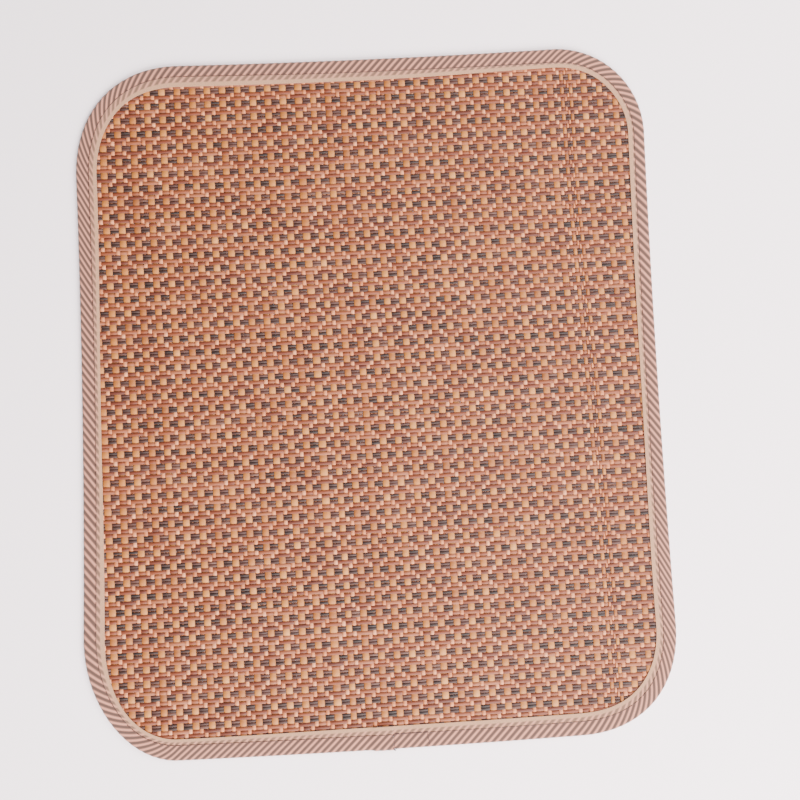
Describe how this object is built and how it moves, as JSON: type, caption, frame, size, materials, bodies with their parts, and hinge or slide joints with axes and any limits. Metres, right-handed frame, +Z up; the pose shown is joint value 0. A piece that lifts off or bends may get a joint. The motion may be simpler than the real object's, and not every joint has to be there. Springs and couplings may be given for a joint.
{
  "type": "woven bamboo seat mat",
  "caption": "Flat rectangular chair seat mat of woven bamboo strip with rounded corners and a folded twill tape sewn round its edge.",
  "frame": {"origin": "on the ground, under the middle of the mat's box", "axes": "+Z up, away from the ground; +Y along the mat's longer side, towards the edge without the tape's joint; +X along the shorter side"},
  "size_m": [0.407, 0.484, 0.0038],
  "materials": {
    "woven_bamboo": "satin lacquered split bamboo strip in tan, red brown and dark brown",
    "twill_tape": "matt cotton twill tape with brown and cream slanting stripes"
  },
  "bodies": {
    "root": {"woven_panel": "woven_bamboo", "binding_tape": "twill_tape"}
  },
  "joints": []
}
